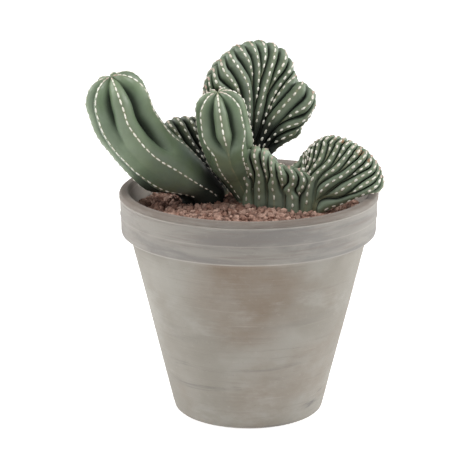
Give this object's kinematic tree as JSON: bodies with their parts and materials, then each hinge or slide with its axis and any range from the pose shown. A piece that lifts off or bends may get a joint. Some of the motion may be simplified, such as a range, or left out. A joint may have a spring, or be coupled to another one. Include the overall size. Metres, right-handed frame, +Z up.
{
  "type": "potted crested cactus",
  "caption": "Fence post cactus with ribbed upright stems and wavy fan-shaped crests, growing from lava grit in a tapered clay pot with a thick rim band.",
  "frame": {"origin": "centre of the bounding box, at the height of the pot's foot", "axes": "+Z up; the picture looks along +Y, so -Y is the front; +X is to the picture's right, where the low crest leans over the rim"},
  "size_m": [0.2138, 0.19, 0.273],
  "materials": {
    "clay": "matt, weathered, unglazed clay",
    "soil": "matt, crumbly potting soil",
    "lava_grit": "matt, porous reddish-brown lava grit",
    "cactus_skin": "waxy green skin with a blue-grey bloom"
  },
  "bodies": {
    "root": {"pot": "clay", "soil": "soil", "grit": "lava_grit", "left_clump": "cactus_skin", "right_clump": "cactus_skin"}
  },
  "joints": []
}
